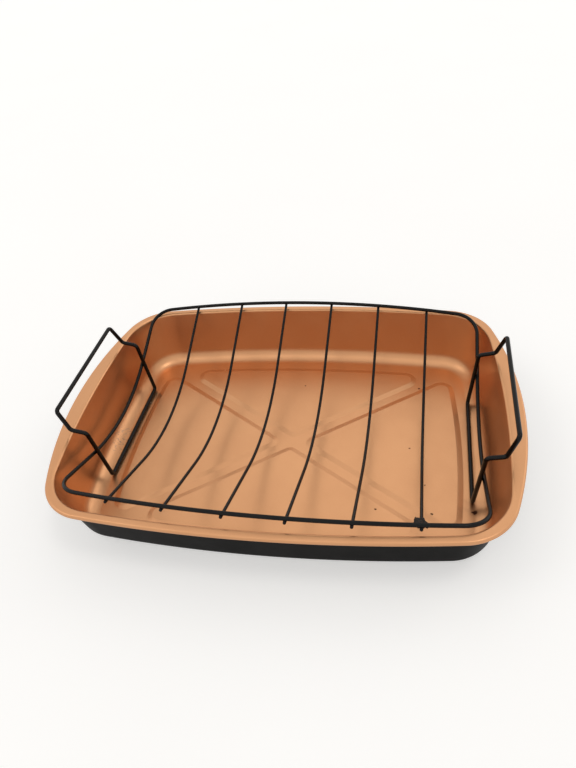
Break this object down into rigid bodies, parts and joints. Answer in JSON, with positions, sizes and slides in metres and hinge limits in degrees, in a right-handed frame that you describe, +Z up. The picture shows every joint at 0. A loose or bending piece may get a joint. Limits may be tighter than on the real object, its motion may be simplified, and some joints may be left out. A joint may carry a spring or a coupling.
{
  "type": "roasting pan with rack",
  "caption": "Rectangular roasting pan with bulged ends and an X-embossed floor, holding a trough-shaped wire rack whose loop handles stand above the rim.",
  "frame": {"origin": "middle of the pan's underside, on the surface that it stands on", "axes": "+X along the pan towards one handle, +Y across it towards the back, +Z up"},
  "size_m": [0.43, 0.3048, 0.0924],
  "materials": {
    "pan_coating": "satin metallic copper-coloured non-stick coating on thin steel, black underneath and outside",
    "rack_coating": "satin black non-stick coating on steel wire"
  },
  "bodies": {
    "pan": {"pan": "pan_coating"},
    "rack": {"rack_frame": "rack_coating", "cross_wire_1": "rack_coating", "cross_wire_2": "rack_coating", "cross_wire_3": "rack_coating", "cross_wire_4": "rack_coating", "cross_wire_5": "rack_coating", "cross_wire_6": "rack_coating", "handle_left": "rack_coating", "handle_right": "rack_coating"}
  },
  "joints": [
    {"name": "rack_lift", "type": "slide", "parent": "pan", "child": "rack", "axis": [0, 0, 1], "range_m": [0, 0.08]}
  ]
}
